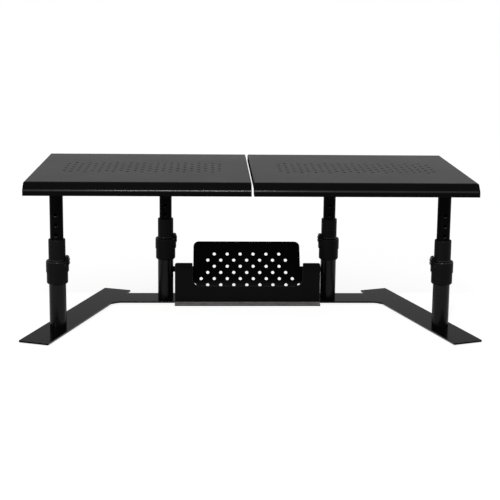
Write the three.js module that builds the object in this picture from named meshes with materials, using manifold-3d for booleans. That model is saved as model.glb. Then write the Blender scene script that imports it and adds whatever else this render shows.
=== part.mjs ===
import * as THREE from 'three';
import { mergeGeometries, mergeVertices } from 'three/addons/utils/BufferGeometryUtils.js';
import Module from 'manifold-3d';

// A two-part monitor stand, in millimetres, +Z up, with its front towards -Y.
// Each perforated platform stands on two telescopic legs and a flat base of its own.
// The bases slide in a folded holder in the middle, so the stand can be drawn wider.
// Each leg has a collar with a turning ring, which drives a pin into a row of holes.

const wasm = await Module();
wasm.setup();

const degree = Math.PI / 180;

// Clearances
const touch = 0.05;              // between faces that are welded or screwed together
const weldGap = 0.3;             // between slanted edges that are welded together
const slideGap = 0.3;            // between pieces that slide on each other
const overrun = 1;               // how far a cut runs past what it cuts

// Folded platforms
const platformWidth = 375;
const platformDepth = 335;
const platformGap = 4;           // between the two platforms with the stand closed
const platformHeight = 261;      // top face above the floor
const platformSheet = 1.2;
const platformBend = 2.6;        // outer bend radius
const lipHeight = 21.5;
const lipReach = 13;             // how far the slanted part of the lip comes forward
const lipEdge = 8;               // height of the upright edge below the slanted part
const lipEnd = 20;               // depth of the lip's closed end
const flangeDrop = 13;           // height of the side and rear flanges

// Perforation of the platforms
const holePitch = 12.35;         // between neighbouring columns, and between rows
const holeDiameter = 3.4;
const holeColumns = 11;          // on each side of the middle column
const holeRows = 4;              // on each side of the middle row
const holeFieldBack = 2;         // how far the field lies behind the middle of the platform

// Leg tubes
const lowerTubeRadius = 14.4;
const lowerTubeWall = 1.5;
const lowerTubeTop = 104.5;
const innerTubeRadius = 11.4;
const innerTubeWall = 1.5;
const lockHeight = 112;          // middle of the locking pin above the floor
const lockPitch = 17.4;
const lockSteps = 5;             // positions below the highest one
const lockHoleDiameter = 5.6;
const glideHeight = 9;
const glideCap = 1.7;            // thickness of the glide's closed bottom

// Where the legs stand under a platform
const frontLegSideInset = 47.5;  // from the platform's outer side to the front leg's axis
const frontLegInset = 54.5;       // from the platform's front
const rearLegSideInset = 150.5;  // from the platform's inner side to the rear leg's axis
const rearLegInset = 101.5;        // from the platform's back

// Base plates
const padHeight = 1.8;
const padRadius = 9;
const plateThickness = 3;
const armAngle = 18.6 * degree;  // between an arm and the front-to-back direction
const armWidth = 54;
const armFront = 100;            // from the front leg to the arm's front end
const armRear = 248;             // from the front leg to the arm's rear end
const armOffset = 4;             // how far the leg stands outside the arm's middle line
const armCorner = 2;
const padInset = 24;             // from an arm's end to the middle of its pad
const stripWidth = 59;
const stripSetForward = 3.8;     // how far the strip's middle lies in front of the rear leg
const stripFillet = 9;

// Leg collars
const skirtRadius = 18;
const skirtBottom = 78.5;
const skirtTop = 98.5;
const skirtChamfer = 2;
const coreRadius = 15.4;         // the part of the collar inside the ring
const coreTop = 116.5;
const sleeveRadius = 14.4;
const sleeveTop = 155.5;
const guideClearance = 0.25;     // round the inner tube
const neckDepth = 2;             // how far the collar reaches into the lower tube
const beadRise = 0.6;            // snap bead that keeps the ring down
const beadWidth = 1.2;

// Locking rings, with a ridged thumb tab on the leg's inner side
const ringRadius = 19;
const ringTop = 119.5;
const ringRound = 3;
const ringPlay = 0.4;            // round the collar
const ringTurn = 35 * degree;    // from released to locked
const tabWidth = 12;
const tabBottom = 110.8;
const tabReach = 20.2;           // from the leg's axis to the valleys between the ridges
const tabInner = 15.6;
const tabRidges = 3;
const ridgePitch = 5.5;
const ridgeRise = 1.1;
const ridgeLean = 35 * degree;   // of the topmost ridge towards the leg
const padRise = 0.7;             // oval thumb pad on the ring, below the tab
const padHalfWidth = 13.5;
const padHalfHeight = 9;

// Locking pins
const pinRadius = 2.4;
const pinTravel = 2;             // inwards, from released to locked
const pinHoleClearance = 0.2;
const pinTipChamfer = 1;
const camClearance = 0.3;        // between the pin's head and the ring's cam
const camSide = 12 * degree;     // how far the cam's deep end runs past the pin

// Fixing of the legs under the platforms
const legFlangeRadius = 30;
const legFlangeThickness = 2.5;
const studCircle = 22;
const studRadius = 2.4;
const studLength = 9;
const studHoleRadius = 2.9;
const studsPerLeg = 3;
const nutRadius = 4.6;
const nutHeight = 4;

// Holder in the middle
const holderLegGap = 3.8;        // between the holder's sides and the rear legs
const holderSheet = 1.2;
const holderBend = 1.8;          // bend radius to the middle of the sheet
const holderLift = 0.3;          // underside above the floor
const footReach = 14;            // how far the folded foot comes forward of the wall
const hemGap = 0.9;              // between the two layers of the foot
const wingHeight = 78.4;
const wingWidth = 32.5;
const wingCorner = 4;
const scoopHeight = 34.5;
const scoopCorner = 14;
const shelfReach = 12;           // the riveted seam behind the base strips
const pocketDepth = 22;          // along the foot, from the strips' front to the leaning back
const backLean = 33.3 * degree;
const backLength = 112.4;
const backSideGap = 0.5;         // between the wings' inner edges and the back, seen from the front
const backCorner = 10;
const earReach = 11.5;           // how far the ears stand out behind the rear legs
const earBottom = 51.2;
const earTop = 62.3;
const backHolePitch = 12.3;
const backHoleDiameter = 6;
const backFirstRow = 86.8;
const backRowCounts = [6, 7, 6, 7, 8, 9];
const rivetRadius = 2;
const rivetClearance = 0.15;
const rivetHeadRadius = 3.6;
const rivetHeadHeight = 1.6;
const rivetTailRadius = 3;
const rivetTailHeight = 1.2;
const rivetInset = 5.5;
const rivetPlaceShares = [-0.86, -0.3, 0.3, 0.86];

// Facets
const tubeSides = 16;
const smallSides = 8;
const hexSides = 6;
const fineHoleSides = 5;         // for the many small holes of the platforms
const bendSteps = 2;
const cornerSteps = 4;
const camSteps = 5;

// Finishes
const powderCoat = new THREE.MeshStandardMaterial({ color: 0x1c1c1e, roughness: 0.42, metalness: 0.2 });
const platformCoat = new THREE.MeshStandardMaterial({ color: 0x232325, roughness: 0.5, metalness: 0.2 });
const blackPlastic = new THREE.MeshStandardMaterial({ color: 0x161616, roughness: 0.6, metalness: 0 });
const blackRubber = new THREE.MeshStandardMaterial({ color: 0x101010, roughness: 0.9, metalness: 0 });
const zincSteel = new THREE.MeshStandardMaterial({ color: 0x9a9b9c, roughness: 0.35, metalness: 1 });

const stand = new THREE.Group();

function addPiece(name, geometry, finish) {
  const mesh = new THREE.Mesh(geometry, finish.clone());
  mesh.name = name;
  mesh.material.flatShading = true;
  stand.add(mesh);
}

// Solids and geometry

function signedVolume(position, corners) {
  const a = new THREE.Vector3();
  const b = new THREE.Vector3();
  const c = new THREE.Vector3();
  let volume = 0;
  for (let i = 0; i < corners.length; i += 3) {
    a.fromBufferAttribute(position, corners[i]);
    b.fromBufferAttribute(position, corners[i + 1]);
    c.fromBufferAttribute(position, corners[i + 2]);
    volume += a.dot(b.cross(c));
  }
  return volume;
}

function solidOf(geometry) {
  const bare = geometry.clone();
  bare.deleteAttribute('normal');
  bare.deleteAttribute('uv');
  const welded = mergeVertices(bare);
  const corners = [];
  for (let i = 0; i < welded.index.count; i += 3) {
    const [a, b, c] = [0, 1, 2].map((k) => welded.index.getX(i + k));
    if (a !== b && b !== c && c !== a) {
      corners.push(a, b, c);
    }
  }
  if (signedVolume(welded.attributes.position, corners) < 0) {
    corners.reverse();
  }
  const mesh = new wasm.Mesh({
    numProp: 3,
    vertProperties: new Float32Array(welded.attributes.position.array),
    triVerts: new Uint32Array(corners),
  });
  return new wasm.Manifold(mesh);
}

function geometryOf(solid) {
  const mesh = solid.getMesh();
  const geometry = new THREE.BufferGeometry();
  geometry.setAttribute('position', new THREE.BufferAttribute(mesh.vertProperties, 3));
  geometry.setIndex(new THREE.BufferAttribute(mesh.triVerts, 1));
  return geometry;
}

function closed(geometry) {
  return geometryOf(solidOf(geometry));
}

// Outlines

function arcPoints(centre, radius, from, turn, steps) {
  const points = [];
  for (let i = 0; i <= steps; i += 1) {
    const angle = from + (turn * i) / steps;
    points.push(new THREE.Vector2(centre.x + radius * Math.cos(angle), centre.y + radius * Math.sin(angle)));
  }
  return points;
}

// The turn at a corner between two straight stretches, and the circle that rounds it.
function roundedCorner(before, corner, after, radius) {
  const arriving = corner.clone().sub(before).normalize();
  const leaving = after.clone().sub(corner).normalize();
  const turn = Math.atan2(arriving.cross(leaving), arriving.dot(leaving));
  const setback = radius * Math.tan(Math.abs(turn) / 2);
  const side = Math.sign(turn);
  const toCentre = new THREE.Vector2(-arriving.y, arriving.x).multiplyScalar(side * radius);
  const start = corner.clone().addScaledVector(arriving, -setback);
  const centre = start.clone().add(toCentre);
  const from = Math.atan2(-toCentre.y, -toCentre.x);
  return { centre, from, turn, side };
}

// An outline given as [x, y, corner radius].
function roundedShape(corners, steps = cornerSteps) {
  const places = corners.map(([x, y]) => new THREE.Vector2(x, y));
  const points = [];
  corners.forEach(([, , radius], i) => {
    if (!radius) {
      points.push(places[i]);
      return;
    }
    const before = places.at(i - 1);
    const after = places[(i + 1) % places.length];
    const { centre, from, turn } = roundedCorner(before, places[i], after, radius);
    points.push(...arcPoints(centre, radius, from, turn, steps));
  });
  return new THREE.Shape(points);
}

// The same outline moved inwards, where its corners run anticlockwise.
function inset(corners, distance) {
  return corners.map(([x, y, radius], i) => {
    const here = new THREE.Vector2(x, y);
    const arriving = here.clone().sub(new THREE.Vector2(...corners.at(i - 1))).normalize();
    const leaving = new THREE.Vector2(...corners[(i + 1) % corners.length]).sub(here).normalize();
    const normal = new THREE.Vector2(-arriving.y, arriving.x);
    const bisector = normal.clone().add(new THREE.Vector2(-leaving.y, leaving.x)).normalize();
    here.addScaledVector(bisector, distance / bisector.dot(normal));
    return [here.x, here.y, Math.max(radius - distance, 0)];
  });
}

// A bent strip of sheet seen from its edge, along its middle line, given as [x, y, bend radius].
function bentStrip(corners, thickness) {
  const places = corners.map(([x, y]) => new THREE.Vector2(x, y));
  const left = [];
  const right = [];
  function addEnd(end, direction) {
    const across = new THREE.Vector2(-direction.y, direction.x).multiplyScalar(thickness / 2);
    left.push(end.clone().add(across));
    right.push(end.clone().sub(across));
  }
  addEnd(places[0], places[1].clone().sub(places[0]).normalize());
  for (let i = 1; i < places.length - 1; i += 1) {
    const radius = corners[i][2];
    const { centre, from, turn, side } = roundedCorner(places[i - 1], places[i], places[i + 1], radius);
    left.push(...arcPoints(centre, radius - (side * thickness) / 2, from, turn, bendSteps));
    right.push(...arcPoints(centre, radius + (side * thickness) / 2, from, turn, bendSteps));
  }
  addEnd(places.at(-1), places.at(-1).clone().sub(places.at(-2)).normalize());
  return new THREE.Shape([...left, ...right.reverse()]);
}

// Forms

function extruded(shape, length) {
  return new THREE.ExtrudeGeometry(shape, { depth: length, bevelEnabled: false });
}

function plate(shape, bottom, thickness) {
  return extruded(shape, thickness).translate(0, 0, bottom);
}

// A section drawn in Y and Z, and drawn out along X.
function alongX(shape, from, length) {
  const turn = new THREE.Matrix4().makeBasis(
    new THREE.Vector3(0, 1, 0),
    new THREE.Vector3(0, 0, 1),
    new THREE.Vector3(1, 0, 0),
  );
  return extruded(shape, length).applyMatrix4(turn).translate(from, 0, 0);
}

// A section drawn in X and Z, and drawn out along Y.
function alongY(shape, from, length) {
  return extruded(shape, length).rotateX(Math.PI / 2).translate(0, from + length, 0);
}

function turned(profile, sides = tubeSides) {
  const points = profile.map(([radius, height]) => new THREE.Vector2(radius, height));
  return new THREE.LatheGeometry(points, sides).rotateX(Math.PI / 2);
}

// A revolved ring, whose profile of [radius, height] closes on itself.
function turnedRing(profile, sides = tubeSides) {
  return turned([...profile, profile[0]], sides);
}

function tube(outerRadius, wall, bottom, top) {
  const bore = outerRadius - wall;
  return turnedRing([[bore, bottom], [outerRadius, bottom], [outerRadius, top], [bore, top]]);
}

function upright(radius, bottom, top, sides = smallSides) {
  const height = top - bottom;
  const cylinder = new THREE.CylinderGeometry(radius, radius, height, sides);
  return cylinder.rotateX(Math.PI / 2).translate(0, 0, bottom + height / 2);
}

function mirrored(geometry) {
  return closed(geometry.clone().scale(-1, 1, 1));
}

function polar(radius, bearing) {
  return [radius * Math.cos(bearing), radius * Math.sin(bearing)];
}

// Places that several pieces share

const platformFront = -platformDepth / 2;
const platformBack = platformDepth / 2;
const frontLegX = platformGap / 2 + platformWidth - frontLegSideInset;
const frontLegY = platformFront + frontLegInset;
const rearLegX = platformGap / 2 + rearLegSideInset;
const rearLegY = platformBack - rearLegInset;
const plateTop = padHeight + plateThickness;
const platformUnderside = platformHeight - platformSheet;
const legFlangeBottom = platformUnderside - touch - legFlangeThickness;
const stripFront = rearLegY - stripSetForward - stripWidth / 2;
const stripBack = stripFront + stripWidth;
const armAlong = new THREE.Vector2(-Math.sin(armAngle), Math.cos(armAngle));
const armAcross = new THREE.Vector2(Math.cos(armAngle), Math.sin(armAngle));

// A place on the right-hand arm, from its front leg towards the rear and the outside.
function armPlace(along, across) {
  return new THREE.Vector2(frontLegX, frontLegY)
    .addScaledVector(armAlong, along)
    .addScaledVector(armAcross, across - armOffset);
}

const originY = (armPlace(-armFront, -armWidth / 2).y + platformBack) / 2;
const legPlaces = [['front', frontLegX, frontLegY], ['rear', rearLegX, rearLegY]];

// Platforms: one folded sheet each, with a deep lip in front and shallow flanges elsewhere

function platformBlock(distance, below) {
  const bottom = platformHeight - lipHeight - below - distance;
  const half = platformWidth / 2;
  const sideView = inset([
    [platformFront, bottom, 0],
    [platformBack, bottom, 0],
    [platformBack, platformHeight, platformBend],
    [platformFront + lipReach, platformHeight, platformBend],
    [platformFront, platformHeight - lipHeight + lipEdge, platformBend],
  ], distance);
  const frontView = inset([
    [-half, bottom, 0],
    [half, bottom, 0],
    [half, platformHeight, platformBend],
    [-half, platformHeight, platformBend],
  ], distance);
  return solidOf(alongX(roundedShape(sideView, bendSteps), -half - overrun, platformWidth + 2 * overrun))
    .intersect(solidOf(alongY(roundedShape(frontView, bendSteps), platformFront - overrun,
      platformDepth + 2 * overrun)));
}

function platformShell() {
  const lipFoot = platformHeight - lipHeight - overrun;
  const flangeFoot = platformHeight - flangeDrop;
  const trim = roundedShape([
    [platformFront + lipEnd, lipFoot, 0],
    [platformBack + overrun, lipFoot, 0],
    [platformBack + overrun, flangeFoot, 0],
    [platformFront + lipEnd + lipHeight - flangeDrop, flangeFoot, 0],
  ]);
  return platformBlock(0, 0)
    .subtract(platformBlock(platformSheet, overrun))
    .subtract(solidOf(alongX(trim, -platformWidth / 2 - overrun, platformWidth + 2 * overrun)));
}

function platformHoles() {
  const bottom = platformUnderside - overrun;
  const top = platformHeight + overrun;
  const holes = [];
  for (let column = -holeColumns; column <= holeColumns; column += 1) {
    for (let row = -holeRows; row <= holeRows; row += 1) {
      if ((column - row) % 2 === 0) {
        const hole = upright(holeDiameter / 2, bottom, top, fineHoleSides);
        holes.push(hole.translate(column * holePitch, holeFieldBack + row * holePitch, 0));
      }
    }
  }
  return solidOf(mergeGeometries(holes));
}

// Three threaded studs for each leg are welded to the sheet's underside.
function studPlaces() {
  const places = [];
  for (let i = 0; i < studsPerLeg; i += 1) {
    places.push(polar(studCircle, Math.PI / 2 + (2 * Math.PI * i) / studsPerLeg));
  }
  return places;
}

function platformGeometry(side) {
  const middle = (platformGap + platformWidth) / 2;
  const studs = legPlaces.flatMap(([, legX, legY]) => studPlaces().map(([x, y]) => {
    const stud = upright(studRadius, platformUnderside - studLength, platformHeight - platformSheet / 2);
    return stud.translate(side * (legX - middle) + x, legY + y, 0);
  }));
  return geometryOf(platformShell().subtract(platformHoles()).add(solidOf(mergeGeometries(studs))));
}

// Base plates: a slanted arm under both ends of a platform, and a strip that runs to the holder

function armShape(side) {
  const half = armWidth / 2;
  const corners = [[-armFront, -half], [-armFront, half], [armRear, half], [armRear, -half]];
  return roundedShape(corners.map(([along, across]) => {
    const place = armPlace(along, across);
    return [side * place.x, place.y, armCorner];
  }), bendSteps);
}

// Where the arm's inner edge crosses a line at the given depth.
function armEdgeX(depth) {
  const corner = armPlace(-armFront, -armWidth / 2);
  return corner.x - (depth - corner.y) * Math.tan(armAngle) - weldGap / Math.cos(armAngle);
}

function stripShape(side) {
  const inner = platformGap / 2;
  const flare = armEdgeX(stripFront - stripFillet);
  const corner = new THREE.Vector2(armEdgeX(stripFront), stripFront);
  const start = new THREE.Vector2(corner.x - stripFillet, stripFront);
  const end = new THREE.Vector2(flare, stripFront - stripFillet);
  const fillet = new THREE.QuadraticBezierCurve(start, corner, end).getPoints(cornerSteps);
  const points = [
    new THREE.Vector2(inner, stripFront),
    ...fillet,
    new THREE.Vector2(armEdgeX(stripBack), stripBack),
    new THREE.Vector2(inner, stripBack),
  ];
  return new THREE.Shape(points.map((point) => new THREE.Vector2(side * point.x, point.y)));
}

const padPlaces = [
  ['arm_front', armPlace(padInset - armFront, 0)],
  ['front_leg', armPlace(0, armOffset)],
  ['arm_rear', armPlace(armRear - padInset, 0)],
  ['rear_leg', new THREE.Vector2(rearLegX, rearLegY)],
];

// Legs

const lowerTubeBore = lowerTubeRadius - lowerTubeWall;
const neckBottom = lowerTubeTop - neckDepth;
const glideTop = neckBottom - slideGap;
const glideBottom = glideTop - glideHeight;
const innerTubeBottom = glideBottom + glideCap + slideGap;
const innerTubeTop = legFlangeBottom - touch;
const guideBore = innerTubeRadius + guideClearance;
const pinHole = pinRadius + pinHoleClearance;

function innerTubeGeometry() {
  const holes = [];
  for (let step = 0; step <= lockSteps; step += 1) {
    const length = innerTubeRadius + overrun;
    const hole = new THREE.CylinderGeometry(lockHoleDiameter / 2, lockHoleDiameter / 2, length, hexSides);
    holes.push(hole.translate(0, -length / 2, lockHeight + step * lockPitch));
  }
  const body = tube(innerTubeRadius, innerTubeWall, innerTubeBottom, innerTubeTop);
  return geometryOf(solidOf(body).subtract(solidOf(mergeGeometries(holes))));
}

// The glide closes the inner tube's lower end and stops it under the collar's neck.
function glideGeometry() {
  const outer = lowerTubeBore - slideGap;
  const inner = innerTubeRadius + touch;
  const cap = glideBottom + glideCap;
  return closed(turned([[0, glideBottom], [outer, glideBottom], [outer, glideTop], [inner, glideTop],
    [inner, cap], [0, cap]]));
}

function collarGeometry() {
  const tubeSeat = lowerTubeRadius + touch;
  const tubeStop = lowerTubeTop + touch;
  const neckRadius = lowerTubeBore - slideGap;
  const beadBottom = ringTop + slideGap;
  const body = solidOf(turnedRing([
    [tubeSeat, skirtBottom],
    [skirtRadius - skirtChamfer, skirtBottom],
    [skirtRadius, skirtBottom + skirtChamfer],
    [skirtRadius, skirtTop],
    [coreRadius, skirtTop],
    [coreRadius, coreTop],
    [sleeveRadius, coreTop],
    [sleeveRadius, beadBottom],
    [sleeveRadius + beadRise, beadBottom],
    [sleeveRadius, beadBottom + beadWidth],
    [sleeveRadius, sleeveTop],
    [guideBore, sleeveTop],
    [guideBore, neckBottom],
    [neckRadius, neckBottom],
    [neckRadius, tubeStop],
    [tubeSeat, tubeStop],
  ]));
  const hole = new THREE.CylinderGeometry(pinHole, pinHole, coreRadius + overrun, smallSides);
  return geometryOf(body.subtract(solidOf(hole.translate(0, -(coreRadius + overrun) / 2, lockHeight))));
}

// The outline of an arc that rises to one side of the straight line between two places.
function bulge(from, to, rise, steps) {
  const chord = to.clone().sub(from);
  const half = chord.length() / 2;
  const radius = (half * half + rise * rise) / (2 * rise);
  const outward = new THREE.Vector2(chord.y, -chord.x).normalize();
  const centre = from.clone().add(to).multiplyScalar(1 / 2).addScaledVector(outward, rise - radius);
  const sweep = 2 * Math.asin(half / radius);
  return arcPoints(centre, radius, outward.angle() - sweep / 2, sweep, steps);
}

// Seen from the side, with the distance from the leg's axis first and the height second.
function tabShape() {
  const ridges = [];
  let valley = new THREE.Vector2(tabReach, tabBottom);
  for (let ridge = 1; ridge <= tabRidges; ridge += 1) {
    const lean = ridge === tabRidges ? ridgeLean : 0;
    const step = new THREE.Vector2(-Math.sin(lean), Math.cos(lean)).multiplyScalar(ridgePitch);
    const next = valley.clone().add(step);
    ridges.push(...bulge(valley, next, ridgeRise, bendSteps));
    valley = next;
  }
  const root = (coreRadius + ringRadius) / 2;
  const lid = (coreTop + slideGap + ringTop) / 2;
  return new THREE.Shape([
    new THREE.Vector2(root, tabBottom - (tabReach - ringRadius)),
    ...ridges,
    new THREE.Vector2(tabInner, valley.y + ridgeRise),
    new THREE.Vector2(tabInner, lid),
    new THREE.Vector2(root, lid),
  ]);
}

// The oval pad follows the ring's round, a little outside it.
function thumbPad() {
  const middle = (skirtTop + slideGap + ringTop) / 2;
  const oval = new THREE.EllipseCurve(0, middle, padHalfWidth, padHalfHeight).getPoints(tubeSides);
  const block = solidOf(alongX(new THREE.Shape(oval.slice(1)), 0, ringRadius + padRise));
  const outer = ringRadius + padRise;
  return block.intersect(solidOf(tube(outer, outer - coreRadius - ringPlay, skirtTop + slideGap, ringTop)));
}

// A recess in the ring's bore, which grows shallower from the pin towards the tab.
function camSpace() {
  const axis = new THREE.Vector2(0, 0);
  const deep = coreRadius + pinTravel + camClearance;
  const front = -Math.PI / 2;
  const outline = arcPoints(axis, deep, front - camSide, camSide, 1);
  for (let i = 1; i <= camSteps; i += 1) {
    const share = i / camSteps;
    const radius = deep - share * pinTravel;
    outline.push(new THREE.Vector2(...polar(radius, front + share * ringTurn)));
  }
  outline.push(...arcPoints(axis, sleeveRadius, front + ringTurn, -ringTurn - camSide, camSteps));
  return solidOf(plate(new THREE.Shape(outline), lockHeight - pinHole - slideGap, 2 * (pinHole + slideGap)));
}

function ringGeometry() {
  const bore = coreRadius + ringPlay;
  const lidBore = sleeveRadius + ringPlay;
  const bottom = skirtTop + slideGap;
  const lidBottom = coreTop + slideGap;
  const roundCentre = new THREE.Vector2(ringRadius - ringRound, ringTop - ringRound);
  const round = arcPoints(roundCentre, ringRound, 0, Math.PI / 2, bendSteps).map((point) => point.toArray());
  const body = solidOf(turnedRing([
    [bore, bottom], [ringRadius, bottom], ...round, [lidBore, ringTop], [lidBore, lidBottom], [bore, lidBottom],
  ]));
  return geometryOf(body
    .add(thumbPad())
    .add(solidOf(alongY(tabShape(), -tabWidth / 2, tabWidth)))
    .subtract(camSpace()));
}

// The pin's domed head faces the ring, and its chamfered tip faces the inner tube.
function pinGeometry() {
  const tip = innerTubeRadius + slideGap;
  const head = coreRadius + pinTravel;
  const dome = arcPoints(new THREE.Vector2(0, head - pinRadius), pinRadius, 0, Math.PI / 2, bendSteps);
  const pin = turned([
    [0, tip],
    [pinRadius - pinTipChamfer, tip],
    [pinRadius, tip + pinTipChamfer],
    ...dome.slice(0, -1).map((point) => point.toArray()),
    [0, head],
  ], smallSides);
  return closed(pin.rotateX(Math.PI / 2).translate(0, 0, lockHeight));
}

function legFlangeGeometry() {
  const top = legFlangeBottom + legFlangeThickness;
  const holes = studPlaces().map(([x, y]) => {
    return upright(studHoleRadius, legFlangeBottom - overrun, top + overrun, hexSides).translate(x, y, 0);
  });
  const disc = upright(legFlangeRadius, legFlangeBottom, top, tubeSides);
  return geometryOf(solidOf(disc).subtract(solidOf(mergeGeometries(holes))));
}

function nutGeometry() {
  const top = legFlangeBottom - touch;
  const body = solidOf(upright(nutRadius, top - nutHeight, top, hexSides));
  const bore = solidOf(upright(studRadius + touch, top - nutHeight - overrun, top + overrun));
  return geometryOf(body.subtract(bore));
}

function moved(geometry, x, y) {
  return geometry.clone().translate(x, y, 0);
}

const lowerTube = closed(tube(lowerTubeRadius, lowerTubeWall, plateTop + touch, lowerTubeTop));
const legPieces = [
  ['lower_tube', lowerTube, powderCoat],
  ['inner_tube', innerTubeGeometry(), powderCoat],
  ['glide', glideGeometry(), blackPlastic],
  ['flange', legFlangeGeometry(), powderCoat],
  ['collar', collarGeometry(), blackPlastic],
  ['lock_pin', pinGeometry(), zincSteel],
];
const leftRing = ringGeometry();
const lockRings = { left: leftRing, right: mirrored(leftRing) };
const nut = nutGeometry();

function addLeg(leg, hand, x, y) {
  for (const [piece, geometry, finish] of legPieces) {
    addPiece(`${leg}_${hand}_${piece}`, moved(geometry, x, y), finish);
  }
  addPiece(`${leg}_${hand}_lock_ring`, moved(lockRings[hand], x, y), blackPlastic);
  studPlaces().forEach(([studX, studY], i) => {
    addPiece(`${leg}_${hand}_nut_${i + 1}`, moved(nut, x + studX, y + studY), zincSteel);
  });
}

function addHalf(hand, side) {
  const platformX = (side * (platformGap + platformWidth)) / 2;
  addPiece(`${hand}_platform`, moved(platformGeometry(side), platformX, 0), platformCoat);
  addPiece(`${hand}_base_arm`, closed(plate(armShape(side), padHeight, plateThickness)), powderCoat);
  addPiece(`${hand}_base_strip`, closed(plate(stripShape(side), padHeight, plateThickness)), powderCoat);
  for (const [place, { x, y }] of padPlaces) {
    const pad = upright(padRadius, 0, padHeight - touch);
    addPiece(`${hand}_${place}_pad`, closed(moved(pad, side * x, y)), blackRubber);
  }
  for (const [leg, x, y] of legPlaces) {
    addLeg(leg, hand, side * x, y);
  }
}

// Holder: a folded tray that wraps the strips from below, and a leaning perforated back

const holderWidth = 2 * (rearLegX - lowerTubeRadius - holderLegGap);
const trayBottom = holderLift + holderSheet / 2;
const trayUpper = trayBottom + holderSheet + hemGap;
const wallY = stripFront - slideGap - holderSheet / 2;
const footY = wallY - footReach - holderSheet / 2;
const seamWallY = stripBack + slideGap + holderSheet / 2;
const seamEnd = seamWallY + shelfReach;
const backFold = stripFront + pocketDepth;
const backFootZ = plateTop + slideGap + holderSheet / 2;
const seamZ = backFootZ - holderSheet - touch;
const rivetY = seamEnd - rivetInset;

function rivetPlaces() {
  return rivetPlaceShares.map((share) => (share * holderWidth) / 2);
}

function rivetHoles() {
  const holes = rivetPlaces().map((x) => {
    return upright(rivetRadius + rivetClearance, seamZ - holderSheet, backFootZ + holderSheet)
      .translate(x, rivetY, 0);
  });
  return solidOf(mergeGeometries(holes));
}

function trayGeometry() {
  const hemBend = (trayUpper - trayBottom) / 2 - touch;
  const section = bentStrip([
    [wallY, wingHeight],
    [wallY, trayUpper, holderBend],
    [footY, trayUpper, hemBend],
    [footY, trayBottom, hemBend],
    [seamWallY, trayBottom, hemBend],
    [seamWallY, seamZ, hemBend],
    [seamEnd, seamZ],
  ], holderSheet);
  const half = holderWidth / 2;
  const folded = solidOf(alongX(section, -half - overrun, holderWidth + 2 * overrun));
  const scoop = half - wingWidth;
  const frontView = roundedShape([
    [-half, -overrun, 0],
    [half, -overrun, 0],
    [half, wingHeight - touch, wingCorner],
    [scoop, wingHeight - touch, holderBend],
    [scoop, scoopHeight, scoopCorner],
    [-scoop, scoopHeight, scoopCorner],
    [-scoop, wingHeight - touch, holderBend],
    [-half, wingHeight - touch, wingCorner],
  ]);
  const depth = seamEnd - footY + 2 * (holderBend + overrun);
  const outline = solidOf(alongY(frontView, footY - holderBend - overrun, depth));
  return geometryOf(folded.intersect(outline).subtract(rivetHoles()));
}

// Turns a piece drawn flat, with Y up the slope and Z towards the front, into the leaning back.
function leaning(geometry) {
  return geometry.rotateX(Math.PI / 2 - backLean).translate(0, backFold, backFootZ);
}

function backGeometry() {
  const top = [backFold + backLength * Math.sin(backLean), backFootZ + backLength * Math.cos(backLean)];
  const section = bentStrip([[seamEnd, backFootZ], [backFold, backFootZ, holderBend], top], holderSheet);
  const foot = holderWidth / 2;
  const body = foot - wingWidth - backSideGap;
  const ear = foot + earReach;
  const folded = solidOf(alongX(section, -ear - overrun, 2 * (ear + overrun)));
  const below = -holderBend * 2;
  const rightSide = [
    [foot, below, 0],
    [foot, earBottom, 0],
    [ear, earBottom, holderSheet],
    [ear, earTop, holderSheet],
    [body, earTop, 0],
    [body, backLength, backCorner],
  ];
  const leftSide = rightSide.map(([x, y, radius]) => [-x, y, radius]).reverse();
  const reach = seamEnd - backFold + overrun;
  const outline = leaning(plate(roundedShape([...rightSide, ...leftSide]), -reach, reach + 2 * holderBend));
  const holes = [];
  backRowCounts.forEach((count, row) => {
    for (let i = 0; i < count; i += 1) {
      const x = (2 * i - count + 1) * backHolePitch;
      const hole = upright(backHoleDiameter / 2, -holderSheet, holderSheet, hexSides);
      holes.push(leaning(hole.translate(x, backFirstRow - row * backHolePitch, 0)));
    }
  });
  return geometryOf(folded
    .intersect(solidOf(outline))
    .subtract(solidOf(mergeGeometries(holes)))
    .subtract(rivetHoles()));
}

function rivetGeometry() {
  const headBottom = backFootZ + holderSheet / 2 + touch;
  const tailTop = seamZ - holderSheet / 2 - touch;
  return closed(turned([
    [0, tailTop - rivetTailHeight],
    [rivetTailRadius, tailTop - rivetTailHeight],
    [rivetTailRadius, tailTop],
    [rivetRadius, tailTop],
    [rivetRadius, headBottom],
    [rivetHeadRadius, headBottom],
    [rivetHeadRadius * Math.SQRT1_2, headBottom + rivetHeadHeight],
    [0, headBottom + rivetHeadHeight],
  ], hexSides));
}

addHalf('left', -1);
addHalf('right', 1);
addPiece('holder_tray', trayGeometry(), powderCoat);
addPiece('holder_back', backGeometry(), powderCoat);
rivetPlaces().forEach((x, i) => {
  addPiece(`holder_rivet_${i + 1}`, moved(rivetGeometry(), x, rivetY), powderCoat);
});

stand.position.y = -originY;

export default stand;
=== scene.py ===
# %% [markdown]
# # A two-part monitor stand in black steel
# Two perforated platforms stand on telescopic legs, and the legs stand on flat bases that slide
# in a folded holder. The solids of the imported part carry the sizes and the motion. This script
# dresses them: every piece is made again with round tubes, soft edges and a worked finish, and
# it stays exactly where its solid is.
# Start by loading the imported part.

# %% Load the imported part
import math

import bmesh
import bpy
from mathutils import Matrix, Vector


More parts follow.
